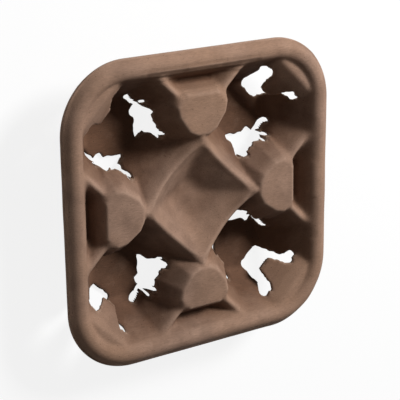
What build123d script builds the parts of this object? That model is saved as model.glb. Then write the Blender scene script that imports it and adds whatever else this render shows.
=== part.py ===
from build123d import *
import os
from math import atan, cos, degrees, pi, radians, sin, sqrt, tan

# Moulded-pulp carrier for four cups, pressed as one sheet.
# It stands on its four pocket floors: +Z is up, Z 0 is the table, and the Z axis
# runs through the middle of the tray. All sizes are in millimetres and degrees. The plan
# grows with the tray's side. A drop is measured down from the crest of the rim.

# Sheet and rim
tray_side = 215.0                   # over the turned-out lip
tray_corner = 0.223 * tray_side     # plan radius of the lip at the corners
tray_height = 43.0                  # table to the crest of the rim
pulp = 2.2                          # thickness of the sheet
lip_drop = 7.0                      # crest down to the underside of the lip
crest_slope = 48.0                  # rise of the bead outside the crest, from level
crest_round = 5.5                   # radius that the bead's facets touch, at the middle of the sheet
wall_top_inset = 12.0               # lip edge in to where the inner wall would meet the crest's level

# Cup pockets: a small floor, carried by the rim's wall on two sides and by the ridge's slope
pocket_pitch = 0.47 * tray_side     # between neighbouring cup axes
floor_flat = 0.084 * tray_side      # cup axis to the floor's diagonal edges
floor_reach = 0.1025 * tray_side    # cup axis to the bends at the foot of the rim's wall
floor_round = 6.0                   # bend from floor to wall
wall_drop = 23.5                    # below this only straps of the rim's wall go on down to the floor

# Three flaps that close in on a cup: one from the corner and one from each neighbouring pad
flap_turn = 120.0                   # from one flap's direction to the next
flap_tip_drop = 24.0
flap_tip_reach = 0.093 * tray_side  # cup axis to the free end
flap_tip_half = 0.028 * tray_side
flap_root_reach = 0.19 * tray_side  # cup axis to the ring that the flaps hang from
flap_root_half = 0.072 * tray_side
slit_width = 2.0                    # between a flap and what is beside it
slit_drop = 21.0                    # the slits end here
slit_reach = 0.144 * tray_side      # and this far from the cup axis
ledge_drop = 4.0                    # flat at each corner, above the corner flap
ledge_width = 6.5                   # rim's wall to the ledge's inner edge, along the diagonal
ledge_round = 3.0

# Raised pads between neighbouring pockets
boss_drop = 3.0
boss_inner = 0.223 * tray_side      # tray middle to the pad's inner end
boss_waist = 0.302 * tray_side      # tray middle to the pad's widest place
boss_outer = 0.356 * tray_side      # tray middle to the pad's outer end
boss_inner_half = 0.04 * tray_side  # half widths of the pad at those three places
boss_waist_half = 0.095 * tray_side
boss_outer_half = 0.084 * tray_side
boss_chamfer = 0.019 * tray_side    # at the corners of the pad
boss_lean = 30.0                    # of the pads' and webs' sides, from upright
web_drop = 5.0                      # low webs run from each pad's outer corners to the rim
web_turn = 46.0                     # from the pad's own direction
web_length = 0.14 * tray_side
web_width = 2.0
web_foot_drop = 33.0                # the webs' sides run down to here, and the pads' to the flap tips

# Square ridge and well in the middle
ridge_drop = 13.0                   # half way between two pads
ridge_sag = 0.04 * tray_side        # how much higher the ridge is where it meets the pads
ridge_reach = 0.144 * tray_side     # tray middle to the ridge's middle line, across a side
ridge_width = 0.023 * tray_side
well_drop = 28.0                    # top face of the well's floor
well_reach = 0.04 * tray_side       # tray middle to the floor's edge, across a side

# Tied values
half_side = tray_side / 2
half_pulp = pulp / 2
pocket = pocket_pitch / 2
pocket_diagonal = pocket * sqrt(2)
crest_line = tray_height - half_pulp
lip_line = tray_height - lip_drop + half_pulp
wall_run = half_side - wall_top_inset - pocket - floor_reach
wall_slope = wall_run / (crest_line - half_pulp)      # inwards for each millimetre down
wall_lean = atan(wall_slope)                          # from upright
wall_foot_height = tray_height - wall_drop
flap_tip_height = tray_height - flap_tip_drop
slit_height = tray_height - slit_drop
ledge_height = tray_height - ledge_drop
boss_height = tray_height - boss_drop
web_height = tray_height - web_drop
web_foot_height = tray_height - web_foot_drop
ridge_height = tray_height - ridge_drop
well_height = tray_height - well_drop
corner_flap_angle = 45                                # towards the tray's corner
pad_flap_angles = [corner_flap_angle - flap_turn, corner_flap_angle + flap_turn]
corner_centre = half_side - tray_corner
corner_diagonal = corner_centre * sqrt(2) + tray_corner
beyond = tray_side                                    # long enough to pass right through the tray
ridge_swing = 60.0                                    # half turn of the sagging ridge, past both its ends

diagonal_plane = Plane(origin=(0, 0, 0), x_dir=(1, 1, 0), z_dir=(1, -1, 0))
mirror_plane = Plane(origin=(0, 0, 0), z_dir=(1, -1, 0))
pocket_place = Pos(pocket, pocket, 0)


def wall_inset(height):
    # Lip's edge in to the middle of the rim's wall at a height.
    return wall_top_inset + (crest_line - height) * wall_slope


def all_round(piece):
    # The same piece in the four quarters round its own Z axis.
    return Part() + [place * piece for place in PolarLocations(0, 4)]


def sheet_section(points):
    # Section of the sheet with sharp bends: the points give its middle line.
    edge = offset(Polyline(*points), amount=half_pulp, kind=Kind.INTERSECTION, side=Side.BOTH)
    return make_face(edge.edges())


def strip(points, radii, plane, width):
    # Bent strip of pulp: the points give its middle line in the plane.
    section = trace(FilletPolyline(*points, radius=radii), line_width=pulp)
    return Part() + [extrude(plane * face, amount=width / 2, both=True) for face in section.faces()]


def crest_points():
    # Corners of the bead's facets, with X as the inset from the lip's edge. The facets touch
    # a circle that the inner wall touches too, and the top one is level.
    inset = wall_top_inset + crest_round * (wall_slope - sqrt(1 + wall_slope ** 2))
    inner = pi / 2 - wall_lean
    outer = radians(crest_slope)
    slopes = [-outer, -outer / 2, 0, inner / 2, inner]
    points = []
    for before, after in zip(slopes, slopes[1:]):
        turn = (before + after) / 2
        reach = crest_round / cos((after - before) / 2)
        points.append((inset + reach * sin(turn), crest_line - crest_round + reach * cos(turn)))
    return points


def make_rim():
    # Bead and inner wall, straight along the sides and turned round the corners, and a flat lip.
    crest = crest_points()
    outer_inset, outer_height = crest[0]
    lip_width = outer_inset - (outer_height - lip_line) / tan(radians(crest_slope))
    line = [(lip_width, lip_line)] + crest + [(wall_inset(wall_foot_height), wall_foot_height)]
    section = sheet_section(line)
    side_plane = Plane(origin=(half_side, 0, 0), x_dir=(-1, 0, 0), z_dir=(0, 1, 0))
    corner_axis = Axis((corner_centre, corner_centre, 0), (0, 0, 1))
    side = extrude(side_plane * section, amount=corner_centre, both=True)
    corner = revolve(Pos(0, corner_centre, 0) * (side_plane * section), corner_axis, 90)
    opening = tray_side - 2 * lip_width
    lip = RectangleRounded(tray_side, tray_side, tray_corner)
    lip -= RectangleRounded(opening, opening, tray_corner - lip_width)
    lip = extrude(Pos(0, 0, lip_line - half_pulp) * lip, amount=pulp)
    return all_round(side + corner) + lip


def make_inside(growth):
    # Everything within the middle of the rim's inner wall, or further out by the growth.
    inset = wall_top_inset - growth
    width = tray_side - 2 * inset
    plan = Pos(0, 0, crest_line) * RectangleRounded(width, width, tray_corner - inset)
    return extrude(plan, amount=crest_line, dir=(0, 0, -1), taper=degrees(wall_lean))


def tapered(plan, inset, top, bottom):
    # Filled form under a flat top, drawn in by the inset. A space below a pad goes on down.
    spread = (top - bottom) * tan(radians(boss_lean)) - inset
    foot = Pos(0, 0, bottom) * offset(plan, amount=spread, kind=Kind.INTERSECTION)
    block = extrude(foot, amount=top - bottom, taper=boss_lean)
    if inset:
        block += extrude(foot, amount=-bottom)
    return block


def boss_blocks(inset, depth):
    # The four pads and their webs, with their tops lowered by the depth.
    half = [
        (boss_inner, boss_inner_half),
        (boss_waist, boss_waist_half),
        (boss_outer, boss_outer_half),
    ]
    outline = half + [(x, -y) for x, y in reversed(half)]
    pad = make_face(Polyline(*outline, close=True))
    pad = chamfer(pad.vertices(), boss_chamfer)
    root = Pos(boss_outer - boss_chamfer, boss_outer_half - boss_chamfer)
    web = root * Rot(0, 0, web_turn) * Pos(web_length / 2, 0) * Rectangle(web_length, web_width)
    block = tapered(web, inset, web_height - depth, web_foot_height)
    block += mirror(block, Plane.XZ) + tapered(pad, inset, boss_height - depth, flap_tip_height)
    return all_round(block)


def ridge_block(inset):
    # The ridge, its well and the slopes outside it down to the pocket floors, filled below.
    edge = ridge_reach + ridge_width / 2
    foot = pocket_diagonal - floor_flat
    line = [
        (-beyond, well_height),
        (well_reach, well_height),
        (ridge_reach - ridge_width / 2, ridge_height),
        (edge, ridge_height),
        (foot, pulp),
        (foot, -beyond),
        (-beyond, -beyond),
    ]
    section = make_face(Polyline(*line, close=True))
    if inset:
        section = offset(section, amount=-inset, kind=Kind.INTERSECTION)
    sag_radius = (ridge_reach ** 2 + ridge_sag ** 2) / (2 * ridge_sag)
    sag_axis = Axis((0, 0, ridge_height + sag_radius), (1, 1, 0))
    start = (diagonal_plane * section).rotate(sag_axis, -ridge_swing)
    block = revolve(start, sag_axis, 2 * ridge_swing)
    top = boss_height - pulp / 2 - inset
    quadrant = Pos(boss_waist / 2, boss_waist / 2, top - beyond / 2) * Box(boss_waist, boss_waist, beyond)
    return all_round(block & quadrant)


def flap_plan(reach, clearance):
    # Plan of a flap that points at a cup axis from +X, widened by a clearance.
    spread = (flap_root_half - flap_tip_half) / (flap_root_reach - flap_tip_reach)
    side = clearance * sqrt(1 + spread ** 2)
    start = flap_tip_reach - clearance
    half_start = flap_tip_half + side - spread * clearance
    half_end = flap_tip_half + side + spread * (reach - flap_tip_reach)
    points = [(start, -half_start), (reach, -half_end), (reach, half_end), (start, half_start)]
    return make_face(Polyline(*points, close=True))


def pad_flaps(reach, clearance):
    # Plan of the two pad flaps round a cup axis.
    plan = flap_plan(reach, clearance)
    return Sketch() + [Rot(0, 0, angle) * plan for angle in pad_flap_angles]


def corner_flap_plan(reach, clearance):
    return Rot(0, 0, corner_flap_angle) * flap_plan(reach, clearance)


def sector(start, end):
    # Plan of the sector between two directions from a cup axis.
    angles = [radians(angle) for angle in (start, (start + end) / 2, end)]
    points = [(beyond * cos(angle), beyond * sin(angle)) for angle in angles]
    return make_face(Polyline((0, 0), *points, close=True))


def make_gaps():
    # The slits beside the pad flaps, and the opening below their free ends.
    ring = Circle(flap_root_reach)
    flaps = pad_flaps(beyond, 0)
    gaps = extrude(ring & (pad_flaps(beyond, slit_width) - flaps), amount=slit_height)
    gaps += extrude(ring & flaps, amount=flap_tip_height)
    return all_round(pocket_place * gaps)


def corner_line():
    # Middle line of the corner's level ledge and the slope below it, along the diagonal.
    ledge_line = ledge_height - half_pulp
    edge = corner_diagonal - wall_inset(ledge_line) - ledge_width
    return [(beyond, ledge_line), (edge, ledge_line), (pocket_diagonal + flap_tip_reach, flap_tip_height)]


def make_strap():
    # From the floor up into the rim's wall at +X, between the corner flap and the pad's flap.
    overlap = wall_foot_height + lip_drop
    line = [
        (pocket, half_pulp),
        (pocket + floor_reach, half_pulp),
        (half_side - wall_inset(overlap), overlap),
    ]
    plane = Plane(origin=(0, pocket, 0), x_dir=(1, 0, 0), z_dir=(0, -1, 0))
    sheet = strip(line, [floor_round], plane, pocket_pitch)
    plan = sector(pad_flap_angles[0], corner_flap_angle) & Circle(flap_root_reach)
    plan = plan - corner_flap_plan(slit_reach, slit_width) - pad_flaps(slit_reach, slit_width)
    return sheet & pocket_place * extrude(plan, amount=tray_height)


def make_floor():
    # Eight-sided: two straps bend up from its edges, and the ridge's slope stands on a third.
    bend = floor_round * tan((pi / 2 - wall_lean) / 2)
    square = Rectangle(2 * (floor_reach - bend), 2 * (floor_reach - bend))
    diamond = Rot(0, 0, 45) * Rectangle(2 * floor_flat, 2 * floor_flat)
    return extrude(square & diamond, amount=pulp)


# Pads, ridge, well and the flaps on their slopes: a filled form less the space below it
inside = make_inside(0)
boss_inset = pulp / cos(radians(boss_lean)) - pulp * tan(radians(boss_lean))
under_pads = boss_blocks(boss_inset, pulp)
filled = boss_blocks(0, 0) + ridge_block(0)
middle = ((filled - under_pads - ridge_block(pulp)) & inside) - make_gaps()

# The corner's ledge and slope reach the rim's wall on both sides, and a flap hangs from them
corner_tip = corner_line()[-1][0]
below = corner_line() + [(corner_tip, -beyond), (beyond, -beyond)]
corner_plan = flap_plan(beyond, 0) + Pos(slit_reach + beyond / 2, 0) * Rectangle(beyond, beyond)
corner_plan = pocket_place * Rot(0, 0, corner_flap_angle) * corner_plan
corner_space = extrude(corner_plan, amount=tray_height)
corner_flap = strip(corner_line(), [ledge_round], diagonal_plane, beyond) & inside & corner_space
wedge = extrude(diagonal_plane * make_face(Polyline(*below, close=True)), amount=beyond, both=True)
under_corner = wedge & corner_space

# One pocket: its straps, floor and corner flap
strap = make_strap()
straps = strap + mirror(strap, mirror_plane) - under_pads - under_corner
pocket_parts = straps + pocket_place * make_floor() + corner_flap

# The rim's wall is open below each corner's slope and below the pads
rim = make_rim() - all_round(under_corner & make_inside(pulp)) - under_pads

cup_carrier = rim + middle + all_round(pocket_parts)
os.makedirs("parts", exist_ok=True)
export_step(cup_carrier, "parts/cup_carrier.step")
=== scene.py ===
from math import atan2, cos, exp, hypot, pi, radians, sin, sqrt

import bmesh
import bpy
from mathutils import Matrix, Vector, noise
from mathutils.bvhtree import BVHTree


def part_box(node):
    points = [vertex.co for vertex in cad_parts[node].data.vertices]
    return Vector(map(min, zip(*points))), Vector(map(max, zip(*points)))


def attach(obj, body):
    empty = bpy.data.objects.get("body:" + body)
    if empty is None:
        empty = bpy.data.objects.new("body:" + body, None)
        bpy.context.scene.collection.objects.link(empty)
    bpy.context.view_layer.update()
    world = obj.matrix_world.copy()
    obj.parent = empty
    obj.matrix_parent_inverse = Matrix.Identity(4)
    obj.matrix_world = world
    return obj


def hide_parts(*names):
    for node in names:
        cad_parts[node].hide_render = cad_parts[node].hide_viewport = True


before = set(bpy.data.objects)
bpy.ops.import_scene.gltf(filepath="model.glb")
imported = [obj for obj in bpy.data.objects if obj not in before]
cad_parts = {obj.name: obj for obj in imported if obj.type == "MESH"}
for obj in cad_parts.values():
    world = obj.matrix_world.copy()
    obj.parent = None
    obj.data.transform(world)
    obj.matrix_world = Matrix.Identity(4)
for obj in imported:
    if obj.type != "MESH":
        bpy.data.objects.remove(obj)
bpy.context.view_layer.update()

print("frame loaded")


# the pressed sheet: a grid laid over the CAD tray, pressed onto its upper and then its lower face
traySheet = {
    "node": "cup_carrier",
    "cells": 204,               # squares along a side
    "corner": 0.048,            # plan radius of the lip
    "edgeIn": 0.0003,           # outermost rays fall this far inside the lip's edge
    "tear": 0.0042,             # a face that rises more than this spans a slit
    "lipBand": 0.001,           # an open edge nearer to the lip than this is the lip itself
    "softness": 0.5,
    "rimBand": 0.020,           # band along the lip with the rounded bead
    "rimPasses": 3,
    "bodyPasses": 2,
    "wellReach": 0.040,         # the well is a soft bowl inside this diamond
    "wellPasses": 22,
    "webOut": (0.070, 0.097),   # the webs beside the pads are rounded here, out from the middle
    "webAlong": (0.013, 0.046), # and here, along the side
    "webPasses": 10,
    "slitPasses": 2,            # evens out the stepped edges of the slits
    "ragged": 0.0011,           # unevenness of the torn slits
    "raggedSize": 0.0042,
    "raggedShift": (31.4, 17.2, 5.6),   # the second direction reads the noise elsewhere
    "lumps": 0.0005,            # slow unevenness of the pressed face
    "lumpSize": 0.026,
    "lumpFade": 0.006,          # below this height it dies out, so the floors stay on the table
    "thinnest": 0.0013,         # least height of the wall, which is thicker across steep sides
    "edgeRound": 0.0004,        # the sheet's edges are drawn back above and below by this
    "sameSpot": 7,              # decimals to which an upper and a lower point share a place
}


def roundCorners(bm, half, radius):
    straight = half - radius
    for vert in bm.verts:
        across, along = abs(vert.co.x) - straight, abs(vert.co.y) - straight
        if across > 0 and along > 0:
            pullX = sqrt(1 - (along / radius) ** 2 / 2)        # square corner to quarter round
            pullY = sqrt(1 - (across / radius) ** 2 / 2)
            vert.co.x = (straight + across * pullX) * (1 if vert.co.x > 0 else -1)
            vert.co.y = (straight + along * pullY) * (1 if vert.co.y > 0 else -1)


def lipDistance(co, half):
    radius = traySheet["corner"]
    straight = half - radius
    across, along = abs(co.x) - straight, abs(co.y) - straight
    if across > 0 and along > 0:
        return radius - hypot(across, along)
    return half - max(abs(co.x), abs(co.y))


def nodeTree(node):
    faces = [tuple(face.vertices) for face in node.data.polygons]
    return BVHTree.FromPolygons([vert.co for vert in node.data.vertices], faces)


def press(tree, verts, inside, above):
    missed = set()
    start, way = (1, Vector((0, 0, -1))) if above else (-1, Vector((0, 0, 1)))
    for vert in verts:
        hit = tree.ray_cast(Vector((vert.co.x * inside, vert.co.y * inside, start)), way)[0]
        if hit is None:
            missed.add(vert)
        else:
            vert.co.z = hit.z
    return missed


def dropFaces(bm, faces):
    bmesh.ops.delete(bm, geom=faces, context="FACES")
    bmesh.ops.delete(bm, geom=[vert for vert in bm.verts if not vert.link_faces], context="VERTS")


def rise(face):
    heights = [vert.co.z for vert in face.verts]
    return max(heights) - min(heights)


def keepLargest(bm):
    seen, groups = set(), []
    for face in bm.faces:
        if face in seen:
            continue
        group, waiting = [], [face]
        seen.add(face)
        while waiting:
            here = waiting.pop()
            group.append(here)
            for edge in here.edges:
                for other in edge.link_faces:
                    if other not in seen:
                        seen.add(other)
                        waiting.append(other)
        groups.append(group)
    groups.sort(key=len)
    loose = [face for group in groups[:-1] for face in group]
    if loose:
        dropFaces(bm, loose)


def raggedSlits(bm, half, layer):
    slit = [vert for vert in bm.verts
            if vert.is_boundary and lipDistance(vert.co, half) > traySheet["lipBand"]]
    for _ in range(traySheet["slitPasses"]):
        bmesh.ops.smooth_vert(bm, verts=slit, factor=traySheet["softness"],
                              use_axis_x=True, use_axis_y=True, use_axis_z=False)
    shift = Vector(traySheet["raggedShift"])
    for vert in slit:
        vert[layer] = 1
        spot = vert.co / traySheet["raggedSize"]
        vert.co.x += traySheet["ragged"] * noise.noise(spot)
        vert.co.y += traySheet["ragged"] * noise.noise(spot + shift)


def soften(bm, verts, passes):
    for _ in range(passes):
        bmesh.ops.smooth_vert(bm, verts=verts, factor=traySheet["softness"],
                              use_axis_x=False, use_axis_y=False, use_axis_z=True)


def besideWeb(co):
    far, near = max(abs(co.x), abs(co.y)), min(abs(co.x), abs(co.y))
    outFrom, outTo = traySheet["webOut"]
    alongFrom, alongTo = traySheet["webAlong"]
    return outFrom < far < outTo and alongFrom < near < alongTo


def softenFace(bm, verts, half):
    bead = [vert for vert in verts if lipDistance(vert.co, half) < traySheet["rimBand"]]
    beadSet = set(bead)
    soften(bm, bead, traySheet["rimPasses"])
    soften(bm, [vert for vert in verts if vert not in beadSet], traySheet["bodyPasses"])
    well = [vert for vert in verts if abs(vert.co.x) + abs(vert.co.y) < traySheet["wellReach"]]
    soften(bm, well, traySheet["wellPasses"])
    soften(bm, [vert for vert in verts if besideWeb(vert.co)], traySheet["webPasses"])


# the flaps round each cup, each bent a little out of true
flaps = {
    "axis": 0.0505,             # cup axes from the tray's middle lines
    "angles": (45, 165, 285),   # in the first pocket, and a quarter turn on in each of the others
    "halfAngle": 25,
    "root": 0.033,
    "tip": 0.020,
    "pastTip": 1.4,             # torn points past the tip bend by no more than this share
    "above": 0.014,             # floors and straps below this stay
    "droop": (0.0015, -0.0006, 0.0022,
              0.0004, 0.0018, -0.0008,
              0.0026, 0.0010, -0.0005,
              0.0020, 0.0012, 0.0003),
}


def bendFlaps(verts):
    reach = flaps["root"] - flaps["tip"]
    count = len(flaps["angles"])
    for quarter in range(4):
        turn = quarter * pi / 2
        axisX = flaps["axis"] * sqrt(2) * cos(turn + pi / 4)
        axisY = flaps["axis"] * sqrt(2) * sin(turn + pi / 4)
        for number, angle in enumerate(flaps["angles"]):
            droop = flaps["droop"][quarter * count + number]
            middle = radians(angle) + turn
            for vert in verts:
                across, along = vert.co.x - axisX, vert.co.y - axisY
                distance = hypot(across, along)
                if distance > flaps["root"] or vert.co.z < flaps["above"]:
                    continue
                away = (atan2(along, across) - middle + pi) % (2 * pi) - pi
                if abs(away) < radians(flaps["halfAngle"]):
                    vert.co.z -= droop * min(flaps["pastTip"], (flaps["root"] - distance) / reach)


# the rounded bead along the square ridge, which dies out towards the pads
ridgeBead = {"reach": 0.031, "height": 0.0015, "width": 0.0019, "padStart": 0.036, "padEnd": 0.044}


def ease(value, start, end):
    share = min(1, max(0, (value - start) / (end - start)))
    return share * share * (3 - 2 * share)


def raiseRidge(verts):
    for vert in verts:
        away = (abs(vert.co.x) + abs(vert.co.y)) / sqrt(2) - ridgeBead["reach"]
        far = max(abs(vert.co.x), abs(vert.co.y))
        fade = 1 - ease(far, ridgeBead["padStart"], ridgeBead["padEnd"])
        vert.co.z += ridgeBead["height"] * fade * exp(-(away / ridgeBead["width"]) ** 2)


# faint press lines on the far wall, between these distances from the lip
pressLines = {
    "from": 0.008,
    "to": 0.021,
    "pitch": 0.0034,
    "depth": 0.0004,
    "halfLength": 0.046,
    "fade": 0.012,
}


def markLines(verts, half):
    for vert in verts:
        inwards = half - vert.co.y
        if not pressLines["from"] < inwards < pressLines["to"]:
            continue
        past = abs(vert.co.x) - pressLines["halfLength"]
        fade = 1 - ease(past, -pressLines["fade"], pressLines["fade"])
        vert.co.z += pressLines["depth"] * fade * sin(2 * pi * inwards / pressLines["pitch"])


def addLumps(verts):
    for vert in verts:
        spot = Vector((vert.co.x, vert.co.y, 0)) / traySheet["lumpSize"]
        fade = min(1, vert.co.z / traySheet["lumpFade"])
        vert.co.z += noise.noise(spot) * traySheet["lumps"] * fade


def planSpot(co):
    return round(co.x, traySheet["sameSpot"]), round(co.y, traySheet["sameSpot"])


def keepWall(upper, lower):
    tops = {planSpot(vert.co): vert.co.z for vert in upper}
    for vert in lower:
        top = tops[planSpot(vert.co)]
        vert.co.z = max(0, min(vert.co.z, top - traySheet["thinnest"]))


# what the pulp's colour follows: how far a place is cut off from the sky, which sets the painted
# shade, and how sharp its edge is, which sets the rubbed edges and their painted highlight
marks = {
    "rays": 40,
    "lift": 0.0025,             # the rays start this far above the face
    "reach": 0.14,
    "bendScale": 1000,          # gives an edge's bend in millimetres
}


def skyDirections(count):
    turn = pi * (3 - sqrt(5))
    ways = []
    for step in range(count):
        out = sqrt((step + 0.5) / count)     # even over the disc, so low light counts less
        ways.append(Vector((out * cos(step * turn), out * sin(step * turn), sqrt(1 - out * out))))
    return ways


# the share of the sky that is cut off from a place; the pulp darkens with it as painted shade
def markShelter(tree, verts, layer):
    sky = skyDirections(marks["rays"])
    lift = Vector((0, 0, marks["lift"]))
    for vert in verts:
        hits = [tree.ray_cast(vert.co + lift, way, marks["reach"])[0] for way in sky]
        vert[layer] = sum(hit is not None for hit in hits) / len(sky)


# how sharp a crest is; the pulp lightens along it as rubbed edges that are partly a painted
# highlight
def markEdges(bm, verts, layer):
    bm.normal_update()
    bend = {}
    for vert in verts:
        near = [edge.other_vert(vert).co for edge in vert.link_edges]
        middle = sum(near, Vector()) / len(near)
        bend[vert] = (vert.co - middle).dot(vert.normal) * marks["bendScale"]
    for vert in verts:
        others = [edge.other_vert(vert) for edge in vert.link_edges]
        near = [bend[other] for other in others if other in bend]
        vert[layer] = (bend[vert] + sum(near)) / (1 + len(near))


def roundEdges(bm, upperSet, lowerSet):
    sides = [edge for edge in bm.edges if sum(vert in upperSet for vert in edge.verts) == 1]
    bmesh.ops.subdivide_edges(bm, edges=sides, cuts=1)
    middles = [vert for vert in bm.verts if vert not in upperSet and vert not in lowerSet]
    bm.normal_update()
    for vert in middles:
        back = Vector((vert.normal.x, vert.normal.y, 0)) * traySheet["edgeRound"]
        for edge in vert.link_edges:
            other = edge.other_vert(vert)
            if other in upperSet or other in lowerSet:
                other.co -= back


def makeSheet():
    low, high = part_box(traySheet["node"])
    half = (high.x - low.x) / 2
    cells = traySheet["cells"]
    inside = 1 - traySheet["edgeIn"] / half
    tree = nodeTree(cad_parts[traySheet["node"]])
    bm = bmesh.new()
    # sky cut off, for the painted shade
    shelter = bm.verts.layers.float.new("shelter")
    # crest sharpness, for the rubbed edges and their painted highlight
    wearAndHighlight = bm.verts.layers.float.new("wearAndHighlight")
    torn = bm.verts.layers.float.new("torn")
    bmesh.ops.create_grid(bm, x_segments=cells, y_segments=cells, size=half)
    roundCorners(bm, half, traySheet["corner"])
    missed = press(tree, bm.verts, inside, True)
    dropFaces(bm, [face for face in bm.faces if rise(face) > traySheet["tear"]
                   or any(vert in missed for vert in face.verts)])
    keepLargest(bm)
    raggedSlits(bm, half, torn)
    press(tree, bm.verts, inside, True)
    wall = bmesh.ops.extrude_face_region(bm, geom=bm.faces[:], use_keep_orig=True)["geom"]
    upper = [part for part in wall if isinstance(part, bmesh.types.BMVert)]
    upperSet = set(upper)
    lower = [vert for vert in bm.verts if vert not in upperSet]
    press(tree, lower, inside, False)
    print("sheet pressed")
    softenFace(bm, upper, half)
    softenFace(bm, lower, half)
    everyVert = list(bm.verts)
    bendFlaps(everyVert)
    raiseRidge(everyVert)
    markLines(everyVert, half)
    addLumps(everyVert)
    keepWall(upper, lower)
    bmesh.ops.recalc_face_normals(bm, faces=bm.faces[:])
    markShelter(tree, upper, shelter)
    markEdges(bm, upper, wearAndHighlight)
    print("shelter and worn edges marked")
    roundEdges(bm, upperSet, set(lower))
    mesh = bpy.data.meshes.new("traySheet")
    bm.to_mesh(mesh)
    bm.free()
    mesh.shade_smooth()
    piece = bpy.data.objects.new("pulp_tray", mesh)
    bpy.context.scene.collection.objects.link(piece)
    print("tray made:", len(mesh.polygons), "faces")
    return piece


# brown moulded pulp: cloudy colour, felted fibres, a few flecks, pale rubbed edges that are partly
# a painted highlight, and painted shade darkening the pockets and the well
# a range is from and to, then what comes out at each end where that isn't 0 and 1
pulp = {
    "dark": (0.205, 0.126, 0.089, 1),
    "light": (0.290, 0.182, 0.130, 1),
    "cloudScale": 70,
    "cloudDetail": 6,
    "cloudRange": (0.32, 0.68),
    "warm": (0.272, 0.158, 0.098, 1),
    "warmScale": 16,
    "warmDetail": 2,
    "warmRange": (0.40, 0.68, 0.0, 0.55),
    "fibreScale": 260,
    "fibreDetail": 3,
    "fibreStretch": 7,
    "fibreTilt": (0.4, 0.3),
    "fibreTurns": (0.2, 1.3, 2.3),            # fibres lie in three directions
    "fibreWander": 0.6,
    "fibreRange": (0.45, 0.75),
    "fibreDepth": 0.16,                       # share of the colour that a fibre takes or gives
    "fleckScale": 420,
    "fleckSize": (0.16, 0.10),                # from a fleck's edge to its full colour
    "fleckPatches": 300,
    "fleckDetail": 0,
    "fleckRange": (0.52, 0.60),
    "fleckColour": (0.12, 0.068, 0.045, 1),
    # pale rubbed edges, partly a painted highlight on the crests
    "wearAndHighlightColour": (0.330, 0.216, 0.157, 1),
    "wearAndHighlightRange": (0.03, 0.20),
    "wearAndHighlightPatches": 90,
    "wearAndHighlightDetail": 3,
    "wearAndHighlightPatchRange": (0.35, 0.65, 0.25, 1.0),
    "wearAndHighlightFibreRange": (0.4, 0.6, 0.5, 1.0),
    "wearAndHighlightUnderShade": (0.0, 0.6, 1.0, 0.0),  # the rubbed edges and their painted highlight fade out under full painted shade, as nothing rubs the edges deep in a pocket
    "paintedShadeColour": (0.48, 0.400, 0.345, 1),  # painted shade: what is left of the colour deep in the pockets
    "paintedShadeRange": (0.05, 0.37),
    "tornColour": (0.375, 0.262, 0.190, 1),   # pale fibres along the slits
    "tornRange": (0.45, 0.62, 0.0, 0.55),
    "roughness": (0.86, 0.97),                # rubbed to fluffy
    "wornGloss": 0.1,
    "specular": 0.2,
    "grainScale": 1500,
    "grainDetail": 5,
    "fibreHeight": 0.7,
    "grainHeight": 0.5,
    "bump": 0.45,
    "bumpDistance": 0.0005,
}


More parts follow.
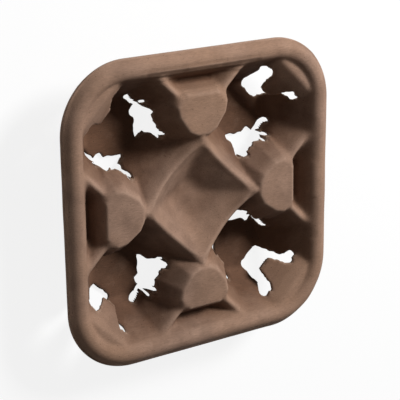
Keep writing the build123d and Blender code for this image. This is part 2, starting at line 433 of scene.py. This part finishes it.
def pulpMaterial():
    material = bpy.data.materials.new("moulded_pulp")
    material.use_nodes = True
    nodes, links = material.node_tree.nodes, material.node_tree.links
    shader = nodes["Principled BSDF"]
    shader.inputs["Specular IOR Level"].default_value = pulp["specular"]
    spot = nodes.new("ShaderNodeTexCoord").outputs["Object"]

    def feed(socket, value):
        if isinstance(value, (float, int, tuple)):
            socket.default_value = value
        else:
            links.new(value, socket)

    def noiseAt(scale, detail, vector, distortion=0.0):
        node = nodes.new("ShaderNodeTexNoise")
        node.inputs["Scale"].default_value = scale
        node.inputs["Detail"].default_value = detail
        node.inputs["Distortion"].default_value = distortion
        links.new(vector, node.inputs["Vector"])
        return node.outputs["Fac"]

    def spread(value, low, high, outLow=0.0, outHigh=1.0):
        node = nodes.new("ShaderNodeMapRange")
        node.inputs["From Min"].default_value = low
        node.inputs["From Max"].default_value = high
        node.inputs["To Min"].default_value = outLow
        node.inputs["To Max"].default_value = outHigh
        links.new(value, node.inputs["Value"])
        return node.outputs["Result"]

    def mixed(way, share, first, second):
        node = nodes.new("ShaderNodeMix")
        node.data_type = "RGBA"
        node.blend_type = way
        feed(node.inputs[0], share)
        feed(node.inputs[6], first)                           # the colour sockets of a mix node
        feed(node.inputs[7], second)
        return node.outputs[2]

    def worked(operation, first, second):
        node = nodes.new("ShaderNodeMath")
        node.operation = operation
        feed(node.inputs[0], first)
        feed(node.inputs[1], second)
        return node.outputs["Value"]

    def times(first, second):
        return worked("MULTIPLY", first, second)

    def fibresAt(turn):
        node = nodes.new("ShaderNodeMapping")
        node.inputs["Rotation"].default_value = pulp["fibreTilt"] + (turn,)
        node.inputs["Scale"].default_value = (1, pulp["fibreStretch"], pulp["fibreStretch"])
        links.new(spot, node.inputs["Vector"])
        way = node.outputs["Vector"]
        return noiseAt(pulp["fibreScale"], pulp["fibreDetail"], way, pulp["fibreWander"])

    def marked(name):
        node = nodes.new("ShaderNodeAttribute")
        node.attribute_name = name
        return node.outputs["Fac"]

    cloud = spread(noiseAt(pulp["cloudScale"], pulp["cloudDetail"], spot), *pulp["cloudRange"])
    colour = mixed("MIX", cloud, pulp["dark"], pulp["light"])
    warm = spread(noiseAt(pulp["warmScale"], pulp["warmDetail"], spot), *pulp["warmRange"])
    colour = mixed("MIX", warm, colour, pulp["warm"])

    first, second, third = [fibresAt(turn) for turn in pulp["fibreTurns"]]
    fibre = worked("MAXIMUM", worked("MAXIMUM", first, second), third)
    tone = spread(fibre, *pulp["fibreRange"], 1 - pulp["fibreDepth"], 1 + pulp["fibreDepth"])
    shade = nodes.new("ShaderNodeCombineColor")
    for name in ("Red", "Green", "Blue"):
        links.new(tone, shade.inputs[name])
    colour = mixed("MULTIPLY", 1.0, colour, shade.outputs["Color"])

    speck = nodes.new("ShaderNodeTexVoronoi")
    speck.inputs["Scale"].default_value = pulp["fleckScale"]
    links.new(spot, speck.inputs["Vector"])
    fleck = spread(speck.outputs["Distance"], *pulp["fleckSize"])
    rare = spread(noiseAt(pulp["fleckPatches"], pulp["fleckDetail"], spot), *pulp["fleckRange"])
    colour = mixed("MIX", times(fleck, rare), colour, pulp["fleckColour"])

    # painted shade: the colour darkens where the sky is cut off, in the pockets and the well
    paintedShade = spread(marked("shelter"), *pulp["paintedShadeRange"])
    # rubbed edges, partly a painted highlight: sharp crests are lightened
    wearAndHighlight = spread(marked("wearAndHighlight"), *pulp["wearAndHighlightRange"])
    patches = noiseAt(pulp["wearAndHighlightPatches"], pulp["wearAndHighlightDetail"], spot)
    wearAndHighlight = times(wearAndHighlight, spread(patches, *pulp["wearAndHighlightPatchRange"]))
    wearAndHighlight = times(wearAndHighlight, spread(fibre, *pulp["wearAndHighlightFibreRange"]))
    wearAndHighlight = times(wearAndHighlight, spread(paintedShade, *pulp["wearAndHighlightUnderShade"]))
    colour = mixed("MIX", wearAndHighlight, colour, pulp["wearAndHighlightColour"])
    # the darker colour of the painted shade
    deep = mixed("MULTIPLY", 1.0, colour, pulp["paintedShadeColour"])
    colour = mixed("MIX", paintedShade, colour, deep)
    fringe = times(marked("torn"), spread(fibre, *pulp["tornRange"]))
    colour = mixed("MIX", fringe, colour, pulp["tornColour"])
    links.new(colour, shader.inputs["Base Color"])

    fluff = spread(fibre, *pulp["fibreRange"], *pulp["roughness"])
    links.new(worked("SUBTRACT", fluff, times(wearAndHighlight, pulp["wornGloss"])), shader.inputs["Roughness"])

    grain = noiseAt(pulp["grainScale"], pulp["grainDetail"], spot)
    height = worked("ADD", times(fibre, pulp["fibreHeight"]), times(grain, pulp["grainHeight"]))
    bump = nodes.new("ShaderNodeBump")
    bump.inputs["Strength"].default_value = pulp["bump"]
    bump.inputs["Distance"].default_value = pulp["bumpDistance"]
    links.new(height, bump.inputs["Height"])
    links.new(bump.outputs["Normal"], shader.inputs["Normal"])
    print("pulp mixed")
    return material


# white floor that keeps the tray's shadow
floorStage = {"size": 4.0, "drop": 0.0003, "glow": 0.86, "paint": (0.9, 0.9, 0.9, 1)}


def floorMaterial():
    material = bpy.data.materials.new("white_floor")
    material.use_nodes = True
    nodes, links = material.node_tree.nodes, material.node_tree.links
    nodes.clear()
    paint = nodes.new("ShaderNodeBsdfDiffuse")
    paint.inputs["Color"].default_value = floorStage["paint"]
    glow = nodes.new("ShaderNodeEmission")
    seen = nodes.new("ShaderNodeLightPath")
    direct = nodes.new("ShaderNodeMath")
    direct.operation = "MAXIMUM"
    links.new(seen.outputs["Is Camera Ray"], direct.inputs[0])
    links.new(seen.outputs["Is Glossy Ray"], direct.inputs[1])
    clear = nodes.new("ShaderNodeMath")
    clear.operation = "MAXIMUM"
    links.new(direct.outputs["Value"], clear.inputs[0])
    links.new(seen.outputs["Is Transmission Ray"], clear.inputs[1])
    share = nodes.new("ShaderNodeMath")
    share.operation = "MULTIPLY"
    share.inputs[1].default_value = floorStage["glow"]
    links.new(clear.outputs["Value"], share.inputs[0])
    mix = nodes.new("ShaderNodeMixShader")
    links.new(share.outputs["Value"], mix.inputs["Fac"])
    links.new(paint.outputs["BSDF"], mix.inputs[1])
    links.new(glow.outputs["Emission"], mix.inputs[2])
    out = nodes.new("ShaderNodeOutputMaterial")
    links.new(mix.outputs["Shader"], out.inputs["Surface"])
    return material


def makeFloor():
    bm = bmesh.new()
    bmesh.ops.create_grid(bm, x_segments=1, y_segments=1, size=floorStage["size"],
                          matrix=Matrix.Translation((0, 0, -floorStage["drop"])))
    mesh = bpy.data.meshes.new("floor")
    bm.to_mesh(mesh)
    bm.free()
    mesh.materials.append(floorMaterial())
    floor = bpy.data.objects.new("floor", mesh)
    bpy.context.scene.collection.objects.link(floor)
    print("floor laid")


# studio light, mostly from the far right of the tray
lamps = {
    "key": {"place": (0.75, 0.75, 0.90), "size": 0.38, "power": 26.5},
    "front": {"place": (-0.9, 0.1, 1.0), "size": 1.0, "power": 0.6},
}
studio = {"target": (0, 0, 0.02), "sky": 0.085}


def makeLight():
    target = Vector(studio["target"])
    for name, lamp in lamps.items():
        light = bpy.data.lights.new(name, "AREA")
        light.size = lamp["size"]
        light.energy = lamp["power"]
        holder = bpy.data.objects.new(name, light)
        holder.location = lamp["place"]
        holder.rotation_euler = (target - Vector(lamp["place"])).to_track_quat("-Z", "Y").to_euler()
        bpy.context.scene.collection.objects.link(holder)
    world = bpy.data.worlds.new("studio")
    world.use_nodes = True
    sky = world.node_tree.nodes["Background"]
    sky.inputs["Color"].default_value = (1, 1, 1, 1)
    sky.inputs["Strength"].default_value = studio["sky"]
    bpy.context.scene.world = world
    print("lights set")


# the photograph's viewing angle onto the tray
cameraView = {
    "place": (-0.4729, 0.2790, 0.7598),
    "aim": (0.0, 0.0, 0.034),
    "up": (0.15658, 0.96285, -0.22001),
    "lens": 118,
    "sensor": 36,
}


def makeCamera():
    place, aim = Vector(cameraView["place"]), Vector(cameraView["aim"])
    back = (place - aim).normalized()
    right = Vector(cameraView["up"]).cross(back).normalized()
    up = back.cross(right)
    data = bpy.data.cameras.new("camera")
    data.lens = cameraView["lens"]
    data.sensor_width = cameraView["sensor"]
    camera = bpy.data.objects.new("camera", data)
    turned = Matrix((right, up, back)).transposed().to_4x4()
    camera.matrix_world = Matrix.Translation(place) @ turned
    bpy.context.scene.collection.objects.link(camera)
    bpy.context.scene.camera = camera
    print("camera set")


piece = makeSheet()
piece.data.materials.append(pulpMaterial())
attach(piece, "root")
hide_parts(traySheet["node"])
makeFloor()
makeLight()
makeCamera()
bpy.context.scene.view_settings.view_transform = "Standard"
